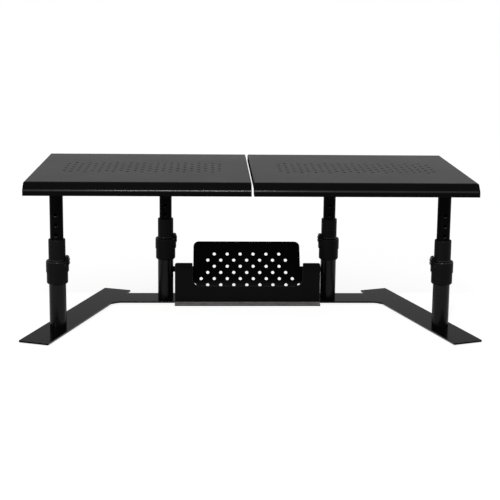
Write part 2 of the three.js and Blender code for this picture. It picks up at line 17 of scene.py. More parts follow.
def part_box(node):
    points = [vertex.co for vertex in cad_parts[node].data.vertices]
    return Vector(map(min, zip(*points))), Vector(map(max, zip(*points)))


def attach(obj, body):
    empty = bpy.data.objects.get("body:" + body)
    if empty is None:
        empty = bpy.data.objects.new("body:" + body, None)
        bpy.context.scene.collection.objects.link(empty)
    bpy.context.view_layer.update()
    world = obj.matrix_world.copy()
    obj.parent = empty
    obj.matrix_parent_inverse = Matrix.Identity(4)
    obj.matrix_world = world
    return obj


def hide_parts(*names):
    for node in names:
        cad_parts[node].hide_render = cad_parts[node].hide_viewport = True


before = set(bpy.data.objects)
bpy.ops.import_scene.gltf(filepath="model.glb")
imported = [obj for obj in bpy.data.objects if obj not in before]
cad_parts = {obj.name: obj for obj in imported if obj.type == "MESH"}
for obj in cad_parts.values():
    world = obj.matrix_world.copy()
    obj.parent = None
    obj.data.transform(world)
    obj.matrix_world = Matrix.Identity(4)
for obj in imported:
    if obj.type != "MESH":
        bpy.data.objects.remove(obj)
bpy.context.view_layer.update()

mm = 0.001

# %% [markdown]
# The camera stands in front of the stand, a little above it and slightly to the left. Its place
# and its angles come from lining up the corners of the platforms and of the bases. The picture
# was cropped off centre, so the lens is shifted instead of tilted further.

# %% Camera
focal_pixels = 1113.5
picture_pixels = 500
sensor_width = 36
axis_row = 175
camera_place = Vector((-73.3, -1941.3, 573.7)) * mm
camera_yaw = -0.0378
camera_pitch = 0.164
camera_roll = 0.0108

camera_data = bpy.data.cameras.new("camera")
camera_data.sensor_width = sensor_width
camera_data.lens = focal_pixels / picture_pixels * sensor_width
camera_data.shift_y = (axis_row - picture_pixels / 2) / picture_pixels
camera = bpy.data.objects.new("camera", camera_data)
bpy.context.scene.collection.objects.link(camera)
turn = (Matrix.Rotation(camera_yaw, 4, "Z")
        @ Matrix.Rotation(math.pi / 2 - camera_pitch, 4, "X")
        @ Matrix.Rotation(camera_roll, 4, "Z"))
camera.matrix_world = Matrix.Translation(camera_place) @ turn
bpy.context.scene.camera = camera
print("lens:", round(camera_data.lens, 2), "mm")

# %% [markdown]
# Black paint shows mostly what it reflects, so the studio matters as much as the paint. The
# white surroundings are seen directly and in reflections, and a weaker, even light fills the
# shadows. Nodes are added by three small helpers, because a tree of nodes written out line by
# line is long and hard to read.

# %% World
def filled(tree, node, inputs):
    """Set the inputs of a node, or link them where the value is another node's output."""
    for key, value in inputs.items():
        if isinstance(value, bpy.types.NodeSocket):
            tree.links.new(value, node.inputs[key])
        else:
            node.inputs[key].default_value = value
    return node


def linked(tree, kind, inputs, **settings):
    """Add a node, set its properties and fill its inputs."""
    node = tree.nodes.new(kind)
    for key, value in settings.items():
        setattr(node, key, value)
    return filled(tree, node, inputs)


def maths(tree, operation, *values):
    """The result of a math node, from numbers and other nodes' outputs."""
    return linked(tree, "ShaderNodeMath", dict(enumerate(values)),
                  operation=operation).outputs[0]


scene = bpy.context.scene
scene.view_settings.view_transform = "Standard"
fill_light = 0.5

world = bpy.data.worlds.new("studio")
scene.world = world
world.use_nodes = True
tree = world.node_tree
tree.nodes.clear()


def seen_rays(tree):
    """1 for rays that show the surroundings: from the camera, from gloss and through glass."""
    rays = tree.nodes.new("ShaderNodeLightPath").outputs
    direct = maths(tree, "MAXIMUM", rays["Is Camera Ray"], rays["Is Glossy Ray"])
    return maths(tree, "MAXIMUM", direct, rays["Is Transmission Ray"])


level = linked(tree, "ShaderNodeMapRange", {
    "Value": seen_rays(tree), "To Min": fill_light, "To Max": 1})
sky = linked(tree, "ShaderNodeBackground", {"Color": (1, 1, 1, 1), "Strength": level.outputs[0]})
linked(tree, "ShaderNodeOutputWorld", {"Surface": sky.outputs[0]})
print("fill light:", fill_light, "of the white that is seen")

# %% [markdown]
# The floor is a wide round disc, so that its edge is far outside the picture. It is pale: part
# of its brightness is its own, so that the shadow under the stand stays light, as on a white
# table under large soft lamps. It has no gloss, because a glossy table would show a second
# stand upside down.

# %% Floor
floor_glow = 0.83
floor_colour = (0.35, 0.35, 0.35, 1)
floor_reach = 30
floor_segments = 96

floor_material = bpy.data.materials.new("pale_floor")
floor_material.use_nodes = True
tree = floor_material.node_tree
filled(tree, tree.nodes["Principled BSDF"], {
    "Base Color": floor_colour, "Roughness": 1, "Specular IOR Level": 0,
    "Emission Color": (1, 1, 1, 1),
    "Emission Strength": maths(tree, "MULTIPLY", seen_rays(tree), floor_glow)})

bm = bmesh.new()
bmesh.ops.create_circle(bm, cap_ends=True, radius=floor_reach, segments=floor_segments)
floor_mesh = bpy.data.meshes.new("floor")
bm.to_mesh(floor_mesh)
bm.free()
floor_mesh.materials.append(floor_material)
floor = bpy.data.objects.new("floor", floor_mesh)
scene.collection.objects.link(floor)
print("floor radius:", floor_reach, "m")

# %% [markdown]
# Two soft lamps draw what even surroundings leave out. A narrow strip in front and above puts a
# line of light on the bend of each lip. A tall, slightly warm lamp low on the left runs a streak
# down the tubes, so that they look round.

# %% Lamps
def soft_lamp(name, place, aim, size, power, colour):
    """A square soft lamp that looks from its place to a point on the stand."""
    light = bpy.data.lights.new(name, "AREA")
    light.shape = "RECTANGLE"
    light.size, light.size_y = size
    light.energy = power
    light.color = colour
    lamp = bpy.data.objects.new(name, light)
    scene.collection.objects.link(lamp)
    way = Vector(aim) - Vector(place)
    facing = way.to_track_quat("-Z", "Y").to_matrix().to_4x4()
    lamp.matrix_world = Matrix.Translation(place) @ facing
    return lamp


lamps = {
    "strip_lamp": dict(place=(-0.15, -1.7, 1.6), aim=(-0.08, 0, 0.2), size=(0.5, 0.07),
                       power=19, colour=(1, 1, 1)),
    "side_lamp": dict(place=(-1.3, -1.7, 0.35), aim=(0, 0, 0.1), size=(0.12, 0.5),
                      power=8, colour=(1, 0.88, 0.76)),
}
for name, values in lamps.items():
    soft_lamp(name, **values)
print("lamps:", list(lamps))

# %% [markdown]
# An effect that several finishes share is a node group, made once and placed with other values
# in each finish. Three helpers make the group itself, a mix of two colours and a noise.

# %% Helpers for shared effects
def effect(name, inputs, outputs):
    """An empty node group with named inputs and outputs."""
    group = bpy.data.node_groups.new(name, "ShaderNodeTree")
    for label, kind, value in inputs:
        socket = group.interface.new_socket(label, in_out="INPUT", socket_type=f"NodeSocket{kind}")
        socket.default_value = value
    for label, kind in outputs:
        group.interface.new_socket(label, in_out="OUTPUT", socket_type=f"NodeSocket{kind}")
    start = group.nodes.new("NodeGroupInput")
    end = group.nodes.new("NodeGroupOutput")
    return group, start.outputs, end.inputs


def colour_between(group, factor, first, second):
    """Mix two colours by a factor that changes over the surface."""
    node = group.nodes.new("ShaderNodeMix")
    node.data_type = "RGBA"
    sockets = {socket.identifier: socket for socket in node.inputs}
    for identifier, value in (("Factor_Float", factor), ("A_Color", first), ("B_Color", second)):
        group.links.new(value, sockets[identifier])
    return next(socket for socket in node.outputs if socket.identifier == "Result_Color")


def noise_at(group, vector, scale, detail, roughness=0.5):
    """A noise between 0 and 1."""
    return linked(group, "ShaderNodeTexNoise", {
        "Vector": vector, "Scale": scale, "Detail": detail, "Roughness": roughness}).outputs["Fac"]


print("helpers:", effect.__name__, colour_between.__name__, noise_at.__name__)

# %% [markdown]
# Powder coat is paint that is blown on dry and melted in an oven. It flows into a skin with
# fine dimples, a little rougher in some places than in others. A wide noise gives the clouds
# and a fine one the dimples, and both change the roughness.

# %% Paint skin
cloud_scale = 14


def paint_skin():
    """Dimples, cloudy roughness and slight clouds of colour, on the piece's own coordinates."""
    group, given, result = effect("paint_skin", [
        ("Color", "Color", (0.01, 0.01, 0.01, 1)), ("Cloud Color", "Color", (0.02, 0.02, 0.02, 1)),
        ("Grain Scale", "Float", 1500), ("Roughness", "Float", 0.4), ("Spread", "Float", 0.1),
    ], [("Color", "Color"), ("Roughness", "Float"), ("Height", "Float")])
    place = group.nodes.new("ShaderNodeTexCoord").outputs["Object"]
    clouds = noise_at(group, place, cloud_scale, detail=4)
    specks = noise_at(group, place, given["Grain Scale"], detail=3, roughness=0.6)
    group.links.new(colour_between(group, clouds, given["Color"], given["Cloud Color"]),
                    result["Color"])
    centred = maths(group, "SUBTRACT", maths(group, "ADD", clouds, specks), 1)
    rough = maths(group, "MULTIPLY_ADD", centred, given["Spread"], given["Roughness"])
    group.links.new(rough, result["Roughness"])
    group.links.new(specks, result["Height"])
    return group


skin_effect = paint_skin()
print("sockets:", [socket.name for socket in skin_effect.interface.items_tree])

# %% [markdown]
# Edges that hands and desks touch lose a little paint and get a shine, and in narrow places the
# powder lands thinly and stays rough. The same lighter colour also paints a highlight on faces
# that a shape marks for it, such as the top of the holder's foot. The shapes carry all of this as
# face attributes, because only the shape knows where an edge is. A noise breaks the wear and the
# painted highlight up, so that no edge is even.

# %% Edge wear and painted highlight
patch_scale = 90
wear_and_highlight_from = (-0.2, 0.7)
dulled_from = (0.3, 1.5)
rubbed_roughness = 0.2
thin_roughness = 0.6


def edge_wear_and_highlight():
    """Rubbed edges, lightened and with a shine on them, a painted highlight on other marked faces,
    and rough faces where the powder landed thinly.
    """
    group, given, result = effect("edge_wear_and_highlight", [
        ("Color", "Color", (0, 0, 0, 1)), ("Wear And Highlight Color", "Color", (0.1, 0.1, 0.1, 1)),
        ("Roughness", "Float", 0.4), ("Amount", "Float", 0.5), ("Shine", "Float", 1),
    ], [("Color", "Color"), ("Roughness", "Float"), ("Shine", "Float")])
    edge = linked(group, "ShaderNodeAttribute", {}, attribute_name="edge").outputs["Fac"]
    thin = linked(group, "ShaderNodeAttribute", {}, attribute_name="thin").outputs["Fac"]
    place = group.nodes.new("ShaderNodeTexCoord").outputs["Object"]
    patches = noise_at(group, place, patch_scale, detail=4, roughness=0.7)
    strength = linked(group, "ShaderNodeMapRange", {
        "Value": patches, "From Min": wear_and_highlight_from[0], "From Max": wear_and_highlight_from[1],
        "To Max": given["Amount"]}).outputs[0]
    # Marked faces are mixed towards the lighter colour: worn paint on edges, a painted highlight
    # where a shape marks one.
    mask = maths(group, "MULTIPLY", edge, strength)
    group.links.new(colour_between(group, mask, given["Color"], given["Wear And Highlight Color"]),
                    result["Color"])
    rubbed = maths(group, "MULTIPLY_ADD", mask, rubbed_roughness, given["Roughness"])
    group.links.new(maths(group, "MULTIPLY_ADD", thin, thin_roughness, rubbed),
                    result["Roughness"])
    dulled = linked(group, "ShaderNodeMapRange", {
        "Value": patches, "From Min": dulled_from[0], "From Max": dulled_from[1],
        "To Min": given["Shine"], "To Max": 0}).outputs[0]
    group.links.new(maths(group, "MULTIPLY", edge, dulled), result["Shine"])
    return group


wear_and_highlight_effect = edge_wear_and_highlight()
print("effects:", [group.name for group in bpy.data.node_groups])

# %% [markdown]
# Every finish is made by one recipe: the skin, the worn edges and painted highlights over it, a
# clear coat where an edge shines, and a bump from the dimples. Only the values differ. Colours are
# as dark as black paint is, and a number that is the same all over goes straight to the shader.

# %% Recipe for a finish
coat_roughness = 0.2
grain_strength = 0.35
warm_grey = (1, 0.96, 0.93)


def coat(name, colour, cloud, roughness, spread, gloss, grain_scale, grain_height, wear_and_highlight_amount,
         wear_and_highlight_colour=0.05, shine=1, metallic=0):
    """A skin of paint, plastic or metal with its grain, clouds and rubbed edges, and with a
    painted highlight where a shape marks one.
    """
    material = bpy.data.materials.new(name)
    material.use_nodes = True
    tree = material.node_tree
    skin = linked(tree, "ShaderNodeGroup", {
        "Color": (*colour, 1), "Cloud Color": (*cloud, 1), "Grain Scale": grain_scale,
        "Roughness": roughness, "Spread": spread}, node_tree=skin_effect).outputs
    worn = linked(tree, "ShaderNodeGroup", {
        "Color": skin["Color"], "Roughness": skin["Roughness"], "Amount": wear_and_highlight_amount, "Shine": shine,
        "Wear And Highlight Color": (*(wear_and_highlight_colour * share for share in warm_grey), 1)},
        node_tree=wear_and_highlight_effect).outputs
    bump = linked(tree, "ShaderNodeBump", {
        "Height": skin["Height"], "Strength": grain_strength, "Distance": grain_height})
    filled(tree, tree.nodes["Principled BSDF"], {
        "Base Color": worn["Color"], "Roughness": worn["Roughness"], "Normal": bump.outputs[0],
        "Coat Weight": worn["Shine"], "Coat Roughness": coat_roughness,
        "Specular IOR Level": gloss, "Metallic": metallic})
    return material


print("recipe:", coat.__name__)

# %% [markdown]
# The stand has one colour and many sheens. The platforms have a fine satin powder coat, the
# plates and the inner tubes a smooth one, the lower tubes a glossier one, and the moulded
# pieces a dull grain. The gloss levels are low, because here every reflection is white, and in
# the photograph's studio only a few lamps were.

# %% Finishes
near_black = (0.0016, 0.0016, 0.0018)
soft_black = (0.0028, 0.0028, 0.003)
finishes = {
    "platform_coat": coat(
        "fine_powder_coat", near_black, soft_black, roughness=0.36, spread=0.05, gloss=0.024,
        grain_scale=1600, grain_height=0.05 * mm, wear_and_highlight_amount=0.05, shine=0.45),
    "black_coat": coat(
        "smooth_powder_coat", near_black, soft_black, roughness=0.16, spread=0.06, gloss=0.012,
        grain_scale=500, grain_height=0.04 * mm, wear_and_highlight_amount=0.05),
    "tube_coat": coat(
        "tube_powder_coat", near_black, soft_black, roughness=0.26, spread=0.06, gloss=0.12,
        grain_scale=600, grain_height=0.04 * mm, wear_and_highlight_amount=0.05),
    # The holder's marked faces are mixed strongly towards a lighter colour: on the top of the
    # tray's foot this is a painted highlight, on its small cut edges it is worn paint.
    "holder_coat": coat(
        "holder_powder_coat", (0.003, 0.003, 0.0032), (0.005, 0.005, 0.0052), roughness=0.4,
        spread=0.06, gloss=0.028, grain_scale=700, grain_height=0.04 * mm, wear_and_highlight_amount=1,
        wear_and_highlight_colour=0.27, shine=0.2),
    "black_plastic": coat(
        "moulded_plastic", (0.003, 0.003, 0.003), (0.0045, 0.0045, 0.0045), roughness=0.5,
        spread=0.08, gloss=0.044, grain_scale=2200, grain_height=0.05 * mm, wear_and_highlight_amount=0.03,
        shine=0.4),
    "pad_rubber": coat(
        "pad_rubber", (0.012, 0.012, 0.012), (0.02, 0.02, 0.02), roughness=0.8, spread=0.1,
        gloss=0.2, grain_scale=1800, grain_height=0.1 * mm, wear_and_highlight_amount=0.1),
    "zinc_steel": coat(
        "zinc_steel", (0.45, 0.45, 0.46), (0.6, 0.6, 0.58), roughness=0.32, spread=0.12,
        gloss=0.5, grain_scale=900, grain_height=0.02 * mm, wear_and_highlight_amount=0.2, metallic=1),
}
print("finishes:", sorted(finishes))

# %% [markdown]
# Each piece starts as a small bmesh that operators shape. Two helpers send a shape through a
# modifier and take the result at once: one for any modifier, such as a thickness, and one for
# a cut, a union or a common part with another shape.

# %% Helpers for modifiers and cuts
def through(bm, kind, **settings):
    """The shape after one modifier, applied at once."""
    mesh = bpy.data.meshes.new("shape")
    bm.to_mesh(mesh)
    bm.free()
    holder = bpy.data.objects.new("shape", mesh)
    scene.collection.objects.link(holder)
    modifier = holder.modifiers.new("step", kind)
    for key, value in settings.items():
        setattr(modifier, key, value)
    ready = holder.evaluated_get(bpy.context.evaluated_depsgraph_get())
    result = bmesh.new()
    result.from_mesh(ready.to_mesh())
    bpy.data.objects.remove(holder)
    return result


def combined(bm, tool, operation):
    """The shape with another one cut out of it, added to it or kept in common."""
    mesh = bpy.data.meshes.new("tool")
    bmesh.ops.recalc_face_normals(bm, faces=bm.faces)
    bmesh.ops.recalc_face_normals(tool, faces=tool.faces)
    tool.to_mesh(mesh)
    tool.free()
    cutter = bpy.data.objects.new("tool", mesh)
    scene.collection.objects.link(cutter)
    result = through(bm, "BOOLEAN", object=cutter, operation=operation, solver="EXACT")
    bpy.data.objects.remove(cutter)
    return result


print("helpers:", through.__name__, combined.__name__)

# %% [markdown]
# No real edge is sharp, and a rounded edge catches light. These helpers find the hard edges,
# round them, and mark faces, so that the finish can wear them or make them rougher. A face
# looks a certain way when that part of its normal is past a limit.

# %% Helpers for edges
facing = 0.5
facing_straight = 0.8


def hard_edges(bm, least_angle):
    """The edges whose faces meet at more than so many degrees."""
    return [edge for edge in bm.edges
            if edge.is_manifold and edge.calc_face_angle(0) > math.radians(least_angle)]


def softened(bm, width, segments=2, least_angle=40, share=0.4, chosen=lambda edge: True):
    """Round the hard edges and mark the new faces for the wear and the shine."""
    mark = bm.faces.layers.float.get("edge") or bm.faces.layers.float.new("edge")
    edges = [edge for edge in hard_edges(bm, least_angle) if chosen(edge)]
    made = bmesh.ops.bevel(bm, geom=edges, offset=width, offset_type="OFFSET",
                           segments=segments, profile=0.5, affect="EDGES", clamp_overlap=True,
                           material=-1)
    for face in made["faces"]:
        face[mark] = share
    return bm


def marked(bm, layer, chosen):
    """Mark the faces that a place and a normal choose, for the wear or for the roughness."""
    mark = bm.faces.layers.float.get(layer) or bm.faces.layers.float.new(layer)
    for face in bm.faces:
        if chosen(face.calc_center_median(), face.normal):
            face[mark] = 1


print("helpers:", hard_edges.__name__, softened.__name__, marked.__name__)

# %% [markdown]
# The last step is the same for all pieces. The shape becomes an object with smooth shading up
# to a limit, gets its finish, rides on its body and stands for its solids.

# %% Helper for finished pieces
smooth_limit = math.radians(50)


def piece(bm, name, body, nodes, finish):
    """Turn a shape into a finished piece on its body, which stands for its solids."""
    for face in bm.faces:
        face.smooth = True
    for edge in bm.edges:
        edge.smooth = not edge.is_manifold or edge.calc_face_angle(0) < smooth_limit
    mesh = bpy.data.meshes.new(name)
    bm.to_mesh(mesh)
    bm.free()
    mesh.materials.append(finishes[finish])
    made = bpy.data.objects.new(name, mesh)
    scene.collection.objects.link(made)
    made.modifiers.new("even_shading", "WEIGHTED_NORMAL").keep_sharp = True
    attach(made, body)
    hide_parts(*nodes)
    return made


print("smooth up to:", round(math.degrees(smooth_limit)), "degrees")

# %% [markdown]
# A turned piece, such as a tube or a collar, is half of its section, spun round its axis. The
# section is a chain of points given as radius and height, and a corner is rounded while the
# chain is still flat.

# %% Helpers for turned shapes
merge_distance = 0.001 * mm
spin_steps = 48
corner_segments = 6


def chain(bm, points, loop=False):
    """A line of joined points. Each is given with the reach of its rounding, or none."""
    verts = [bm.verts.new(point) for point, _ in points]
    pairs = list(zip(verts, verts[1:]))
    if loop:
        pairs.append((verts[-1], verts[0]))
    for pair in pairs:
        bm.edges.new(pair)
    for vert, (_, reach) in zip(verts, points):
        if reach:
            bmesh.ops.bevel(bm, geom=[vert], offset=reach, offset_type="OFFSET",
                            segments=corner_segments, profile=0.5, affect="VERTICES",
                            clamp_overlap=True, material=-1)
    return bm


def turned(section, axis=(0, 0), loop=True, steps=spin_steps):
    """Spin a section of (radius, height, rounding) round an upright axis."""
    bm = bmesh.new()
    chain(bm, [((radius, 0, height), rest[0] if rest else 0)
               for radius, height, *rest in section], loop)
    bmesh.ops.spin(bm, geom=bm.verts[:] + bm.edges[:], cent=(0, 0, 0), axis=(0, 0, 1),
                   angle=2 * math.pi, steps=steps, use_merge=True)
    bmesh.ops.remove_doubles(bm, verts=bm.verts, dist=merge_distance)
    bmesh.ops.recalc_face_normals(bm, faces=bm.faces)
    bmesh.ops.translate(bm, verts=bm.verts, vec=(axis[0], axis[1], 0))
    return bm


def disc(bottom, top, radius, rounding, axis):
    """A disc with rounded edges."""
    return turned([(0, bottom), (radius, bottom, rounding), (radius, top, rounding), (0, top)],
                  axis, loop=False)


print("helpers:", chain.__name__, turned.__name__, disc.__name__, "with", spin_steps, "steps")

# %% [markdown]
# A flat piece is an outline, filled and drawn out to a solid. A last helper takes one shape into
# another as it is, for pieces that are made of several bodies.

# %% Helpers for drawn-out and joined shapes
def grown_by(bm, grown, way):
    """Move what an extrude has made, and turn all faces outwards."""
    moved = [item for item in grown["geom"] if isinstance(item, bmesh.types.BMVert)]
    bmesh.ops.translate(bm, verts=moved, vec=way)
    bmesh.ops.recalc_face_normals(bm, faces=bm.faces)
    return bm


def drawn(outline, way, length):
    """Fill a flat outline of (point, rounding) and draw it out to a solid."""
    bm = chain(bmesh.new(), outline, loop=True)
    face = bmesh.ops.contextual_create(bm, geom=bm.edges)["faces"][0]
    return grown_by(bm, bmesh.ops.extrude_face_region(bm, geom=[face]), Vector(way) * length)


def added(bm, other):
    """Take another shape into this one as it is."""
    mesh = bpy.data.meshes.new("part")
    other.to_mesh(mesh)
    other.free()
    bm.from_mesh(mesh)
    bpy.data.meshes.remove(mesh)
    return bm


print("helpers:", grown_by.__name__, drawn.__name__, added.__name__)

# %% [markdown]
# The platform is one sheet, folded down on all four sides: a deep slanted lip in front and low
# flanges at the sides and behind. The outer skin is drawn out from its side view, the open
# underside is taken away, the folds are rounded, and a thickness makes it a sheet again.

# %% Platform sheet
sheet = 1.2 * mm
fold_radius = 2.6 * mm
lip_height = 21.5 * mm
lip_reach = 13 * mm
lip_edge = 9.4 * mm
lip_end = 20 * mm
flange_drop = 13 * mm
fold_segments = 5
least_fold = 20


def platform_skin(low, high):
    """The folded sheet without its holes."""
    front, back, top = low.y, high.y, high.z
    side_view = [
        (front, top - lip_height), (front + lip_end, top - lip_height),
        (front + lip_end + lip_height - flange_drop, top - flange_drop),
        (back, top - flange_drop), (back, top), (front + lip_reach, top),
        (front, top - lip_height + lip_edge),
    ]
    bm = drawn([((low.x, y, z), 0) for y, z in side_view], (1, 0, 0), high.x - low.x)
    below = [face for face in bm.faces if face.normal.z < -facing]
    bmesh.ops.delete(bm, geom=below, context="FACES")
    folds = [edge for edge in hard_edges(bm, least_fold)
             if abs(edge.verts[0].co.x - edge.verts[1].co.x) > sheet
             or min(vert.co.z for vert in edge.verts) > top - sheet]
    bmesh.ops.bevel(bm, geom=folds, offset=fold_radius, offset_type="OFFSET",
                    segments=fold_segments, profile=0.5, affect="EDGES", clamp_overlap=True,
                    material=-1)
    return through(bm, "SOLIDIFY", thickness=sheet, offset=-1, use_even_offset=True)


print("lip:", lip_height / mm, "mm, flanges:", flange_drop / mm, "mm")

# %% [markdown]
# The holes are punched on a diagonal grid. Round bars at the same places cut them here, and one
# cut with all the bars is much quicker than a cut for each hole.

# %% Platform holes
hole_pitch = 12.35 * mm
hole_radius = 2.35 * mm
hole_columns = 11
hole_rows = 4
hole_field_back = 2 * mm
hole_sides = 20


def hole_places(middle):
    """The middles of the holes. Every second place of the grid stays empty."""
    for column in range(-hole_columns, hole_columns + 1):
        for row in range(-hole_rows, hole_rows + 1):
            if (column - row) % 2 == 0:
                yield middle.x + column * hole_pitch, middle.y + hole_field_back + row * hole_pitch


def hole_tools(places, bottom, top, radius, sides=hole_sides):
    """Round bars that cut upright holes."""
    bm = bmesh.new()
    for x, y in places:
        spot = Matrix.Translation((x, y, (bottom + top) / 2))
        bmesh.ops.create_cone(bm, cap_ends=True, segments=sides, radius1=radius, radius2=radius,
                              depth=top - bottom, matrix=spot)
    return bm


print("hole width:", round(2 * hole_radius / mm, 2), "mm")

# %% [markdown]
# The two platforms are the same sheet, made once for each solid. A punch draws the edge of a
# hole in a little, so the holes get a wider rounding than the cut edges do, and first, because
# a small rounding beside them would hold theirs back. The bend of the lip is marked to shine,
# and the side folds and the hole edges to be rough.

# %% Platforms
hole_edge = 0.55 * mm
below_top = hole_edge / 20
sheet_share = 0.99
cut_edge = 0.2 * mm
lip_bend = (0.18, 0.6)


def within(spot, low, high):
    """Whether a face belongs to the flat top or to a hole in it."""
    return (low.x + 2 * fold_radius < spot.x < high.x - 2 * fold_radius
            and low.y + 2 * lip_reach < spot.y < high.y - 2 * fold_radius
            and spot.z > high.z - sheet_share * sheet)


for hand in ("left", "right"):
    low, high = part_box(f"{hand}_platform")
    skin = platform_skin(low, high)
    places = list(hole_places((low + high) / 2))
    tools = hole_tools(places, high.z - 3 * sheet, high.z + sheet, hole_radius)
    skin = combined(skin, tools, "DIFFERENCE")
    softened(skin, hole_edge, share=0,
             chosen=lambda edge: all(within(vert.co, low, high) for vert in edge.verts))
    softened(skin, cut_edge, share=0)
    skin.normal_update()
    marked(skin, "edge", lambda spot, normal: normal.y < -facing_straight
           and lip_bend[0] < normal.z < lip_bend[1])
    marked(skin, "thin", lambda spot, normal: abs(normal.x) > facing_straight
           or within(spot, low, high) and spot.z < high.z - below_top)
    made = piece(skin, f"{hand}_platform_sheet", f"{hand}_top", [f"{hand}_platform"],
                 "platform_coat")
    print(made.name, len(made.data.polygons), "faces,", len(places), "holes")

# %% [markdown]
# A leg is a tube in a tube. Both are spun from the section of their wall, whose corners are
# rounded a little. Place and radius are read from the solid, so that a tube can't drift from it.

# %% Tube sections
tube_wall = 1.5 * mm
rim = 0.4 * mm


def middle_of(node):
    """The middle of a solid's box."""
    low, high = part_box(node)
    return (low + high) / 2


def radius_of(node):
    """The radius of an upright round solid."""
    low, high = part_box(node)
    return (high.y - low.y) / 2


def tube_section(node):
    """The wall of a tube, with rounded ends."""
    low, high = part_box(node)
    radius = radius_of(node)
    return [(radius - tube_wall, low.z, rim / 2), (radius, low.z, rim), (radius, high.z, rim),
            (radius - tube_wall, high.z, rim / 2)]


legs = [(leg, hand) for leg in ("front", "rear") for hand in ("left", "right")]
print("tube radii:", round(radius_of("front_left_lower_tube") / mm, 2), "and",
      round(radius_of("front_left_inner_tube") / mm, 2), "mm")

# %% [markdown]
# The inner tube has a row of holes in front, and the locking pin goes into one of them. They
# are cut with lying bars. A bar that widens where it leaves the tube gives the hole the soft
# rim of a pressed one, and that rim catches light.

# %% Height holes
lock_height = 112 * mm
lock_pitch = 17.4 * mm
lock_places = 6
lock_hole_radius = 2.8 * mm
lock_hole_flare = 0.6 * mm
flare_slope = 1.6
small_steps = 24


def lying(x, y, z):
    """The turn that lays an upright shape down, towards the front, and the move to a place."""
    return Matrix.Translation((x, y, z)) @ Matrix.Rotation(math.pi / 2, 4, "X")


def forward_bars(axis, heights, radius, reach):
    """Round bars from an upright axis towards the front."""
    bm = bmesh.new()
    for height in heights:
        spot = lying(axis.x, axis.y - reach / 2, height)
        bmesh.ops.create_cone(bm, cap_ends=True, segments=small_steps, radius1=radius,
                              radius2=radius, depth=reach, matrix=spot)
    return bm


def flared_bars(axis, heights, radius, reach):
    """Bars for the height holes, widened where they leave the tube, as pressed holes are."""
    bm = bmesh.new()
    wide = radius + flare_slope * lock_hole_flare
    for height in heights:
        bar = turned([(0, 0), (radius, 0), (radius, reach - lock_hole_flare, rim), (wide, reach),
                      (wide, reach + tube_wall), (0, reach + tube_wall)],
                     loop=False, steps=small_steps)
        bmesh.ops.transform(bar, matrix=lying(axis.x, axis.y, height), verts=bar.verts)
        added(bm, bar)
    return bm


lock_heights = [lock_height + step * lock_pitch for step in range(lock_places)]
print("hole heights:", [round(height / mm, 1) for height in lock_heights], "mm")

# %% [markdown]
# The lower tube is welded to the base, and the upper one slides in it and rides on the platform.
# The lower halves of the hole rims are marked to shine, because light from above meets them.

# %% Legs
lock_hole_edge = 0.1 * mm
lit_rim = 0.15

for leg, hand in legs:
    name = f"{leg}_{hand}"
    node = f"{name}_lower_tube"
    outer = turned(tube_section(node), middle_of(node))
    piece(outer, f"{name}_outer_leg", f"{hand}_base", [node], "tube_coat")
    node = f"{name}_inner_tube"
    axis = middle_of(node)
    inner = turned(tube_section(node), axis)
    bars = flared_bars(axis, lock_heights, lock_hole_radius, radius_of(node))
    inner = softened(combined(inner, bars, "DIFFERENCE"), lock_hole_edge)
    inner.normal_update()
    marked(inner, "edge", lambda spot, normal: normal.z > lit_rim and spot.y < axis.y - tube_wall
           and lock_heights[0] - lock_pitch < spot.z < lock_heights[-1] + lock_pitch)
    piece(inner, f"{name}_inner_leg", f"{hand}_top", [node], "black_coat")
print("legs:", len(legs), "with", lock_places, "holes each")

# %% [markdown]
# A moulded collar sits on each lower tube: a skirt outside, a long sleeve that guides the inner
# tube, and between them the seat of the locking ring. It is one turned section. Where it meets
# the tubes and the ring, its radii come from theirs and a gap, as in the real fit.

# %% Collar section
skirt_radius = 18 * mm
skirt_chamfer = 2 * mm
seat_radius = 15.4 * mm
sleeve_radius = 14.4 * mm
ring_top = 119.5 * mm
seat_drop = 3 * mm
slide_gap = 0.3 * mm
tube_fit = 0.05 * mm
guide_gap = 0.25 * mm
neck_depth = 2 * mm
collar_round = 0.5 * mm
bead_rise = 0.6 * mm
bead_width = 1.2 * mm
sleeve_round = 0.9 * mm


def collar_section(name):
    """Skirt, seat and sleeve outside, and the bores of both tubes inside."""
    low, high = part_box(f"{name}_collar")
    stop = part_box(f"{name}_lower_tube")[1].z
    seat = radius_of(f"{name}_lower_tube") + tube_fit
    guide = radius_of(f"{name}_inner_tube") + guide_gap
    neck = seat - tube_fit - tube_wall - slide_gap
    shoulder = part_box(f"{name}_lock_ring")[0].z - slide_gap
    bead = ring_top + slide_gap
    return [
        (seat, low.z), (skirt_radius - skirt_chamfer, low.z, collar_round),
        (skirt_radius, low.z + skirt_chamfer, collar_round),
        (skirt_radius, shoulder, collar_round), (seat_radius, shoulder),
        (seat_radius, ring_top - seat_drop), (sleeve_radius, ring_top - seat_drop),
        (sleeve_radius, bead), (sleeve_radius + bead_rise, bead, bead_rise / 3),
        (sleeve_radius, bead + bead_width), (sleeve_radius, high.z, sleeve_round),
        (guide, high.z, collar_round), (guide, stop - neck_depth),
        (neck, stop - neck_depth), (neck, stop + tube_fit), (seat, stop + tube_fit),
    ]


print("corners of the section:", len(collar_section("front_left")))

# %% [markdown]
# A hole in front of each collar guides the pin. The roundings on top are marked to shine,
# because hands rub them and light from above meets them.

# %% Collars
pin_hole_radius = 2.6 * mm
rubbed_slope = (0.25, 0.75)


def rubbed_round(spot, normal):
    """A rounding on top, which hands have made smoother."""
    return rubbed_slope[0] < normal.z < rubbed_slope[1]


